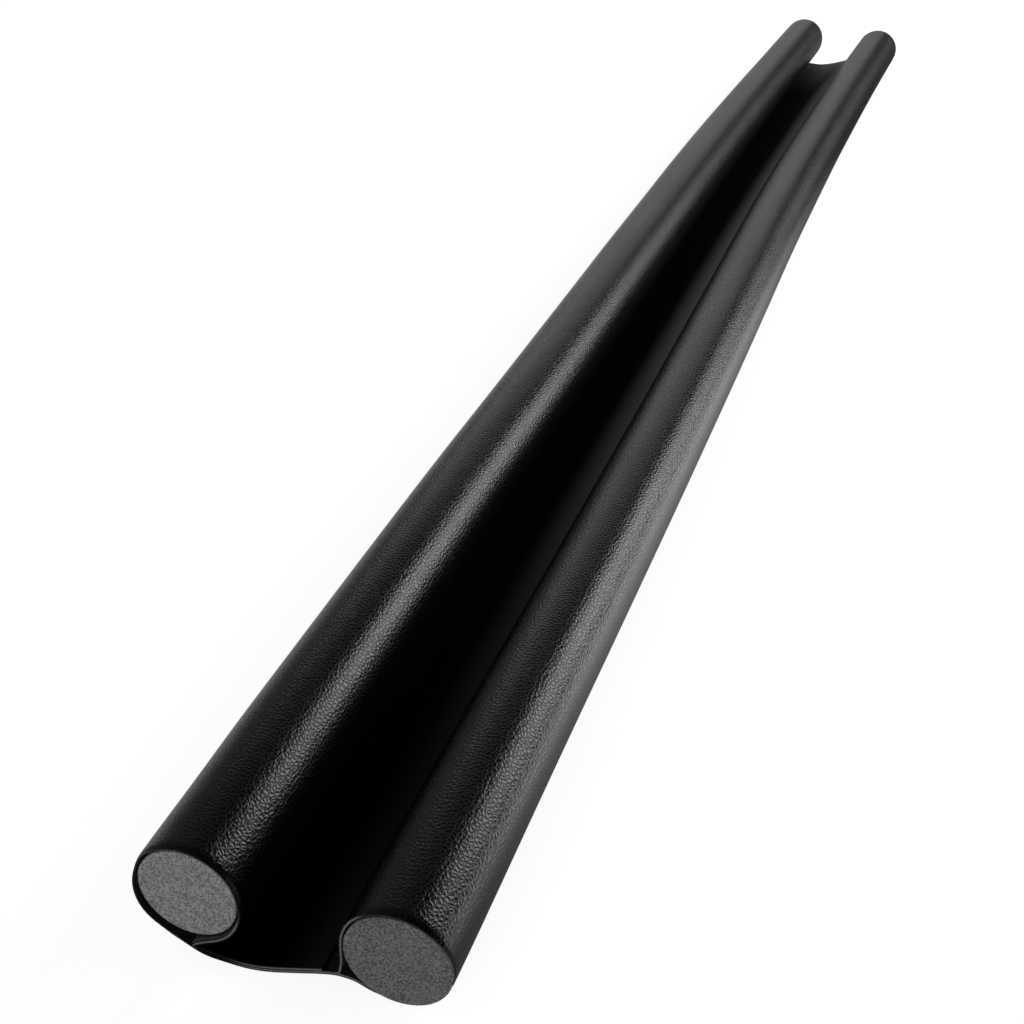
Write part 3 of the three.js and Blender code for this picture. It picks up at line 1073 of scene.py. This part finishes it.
def add_lights(stage):
    """The strip on the right and the light behind are mirrored in the sleeves, the front one isn't."""
    add_area("strip_light", width=1.54, height=1.03, place=(1.25, 1.61, 0.8), target=(0.0, 1.61, 0.3),
             level=stage.strip_level, tilt=math.radians(-5))
    front = add_area("front_light", width=1.6, height=1.0, place=(0.3, -2.4, 0.9),
                     target=(0.0, -0.5, 0.0), level=stage.fill_level)
    front.visible_glossy = False
    add_area("back_light", width=2.8, height=1.6, place=(-0.85, 3.4, 1.45), target=(0.0, 0.5, 0.2),
             level=stage.back_level)


def add_surroundings(stage):
    """White for the camera. For all else a dim sky, weaker overhead and on the right."""
    world = bpy.data.worlds.new("surroundings")
    world.use_nodes = True
    bpy.context.scene.world = world
    tree = world.node_tree
    sky = tree.nodes["Background"]
    sky.inputs["Color"].default_value = (1, 1, 1, 1)
    seen = add_node(tree, "ShaderNodeLightPath").outputs["Is Camera Ray"]
    way = add_node(tree, "ShaderNodeSeparateXYZ")
    link(tree, add_node(tree, "ShaderNodeTexCoord").outputs["Generated"], way.inputs[0])
    overhead = range_map(tree, way.outputs["Z"], 0.1, 0.9, 1.0, 0.5)
    sideways = range_map(tree, way.outputs["X"], -0.3, 0.2, stage.sky, 0.3 * stage.sky)
    level = maths(tree, "MULTIPLY", overhead, sideways)
    link(tree, maths(tree, "MAXIMUM", seen, level), sky.inputs["Strength"])


def add_camera(stage):
    """The camera that took the picture, fitted to the rods' cut ends and the outline."""
    turn = Matrix.Rotation(stage.azimuth, 3, "Z") @ Matrix.Rotation(math.pi / 2 - stage.elevation, 3, "X")
    turn = turn @ Matrix.Rotation(stage.roll, 3, "Z")
    bpy.ops.object.camera_add(location=stage.camera_place, rotation=turn.to_euler())
    camera = bpy.context.object
    camera.data.sensor_width = 36
    camera.data.lens = stage.lens
    camera.data.clip_start = 0.01
    bpy.context.scene.camera = camera


class VIEW3D_PT_draught_stopper(bpy.types.Panel):
    """Lists the steps and the sizes of the draught stopper"""
    bl_label = "Draught Stopper"
    bl_space_type = "VIEW_3D"
    bl_region_type = "UI"
    bl_category = "Stopper"

    def draw(self, context):
        layout = self.layout
        for step in (STOPPER_OT_add_cover, STOPPER_OT_add_foam_rods, STOPPER_OT_add_stage):
            layout.operator(step.bl_idname)
        for group_name in SETTINGS:
            settings = getattr(context.scene, group_name)
            box = layout.box()
            for key in settings.__annotations__:
                box.prop(settings, key)


SETTINGS = {
    "stopper_cover": CoverSizes,
    "stopper_rods": RodSizes,
    "stopper_leather": LeatherFinish,
    "stopper_foam": FoamFinish,
    "stopper_stage": StageSettings,
}
CLASSES = [
    *SETTINGS.values(),
    STOPPER_OT_add_cover,
    STOPPER_OT_add_foam_rods,
    STOPPER_OT_add_stage,
    VIEW3D_PT_draught_stopper,
]


def register():
    for made in CLASSES:
        bpy.utils.register_class(made)
    for name, kind in SETTINGS.items():
        setattr(bpy.types.Scene, name, PointerProperty(type=kind))


def unregister():
    for name in SETTINGS:
        delattr(bpy.types.Scene, name)
    for made in reversed(CLASSES):
        bpy.utils.unregister_class(made)


def main():
    register()
    bpy.ops.stopper.add_cover()
    bpy.ops.stopper.add_foam_rods()
    bpy.ops.stopper.add_stage()


if __name__ == "__main__":
    main()
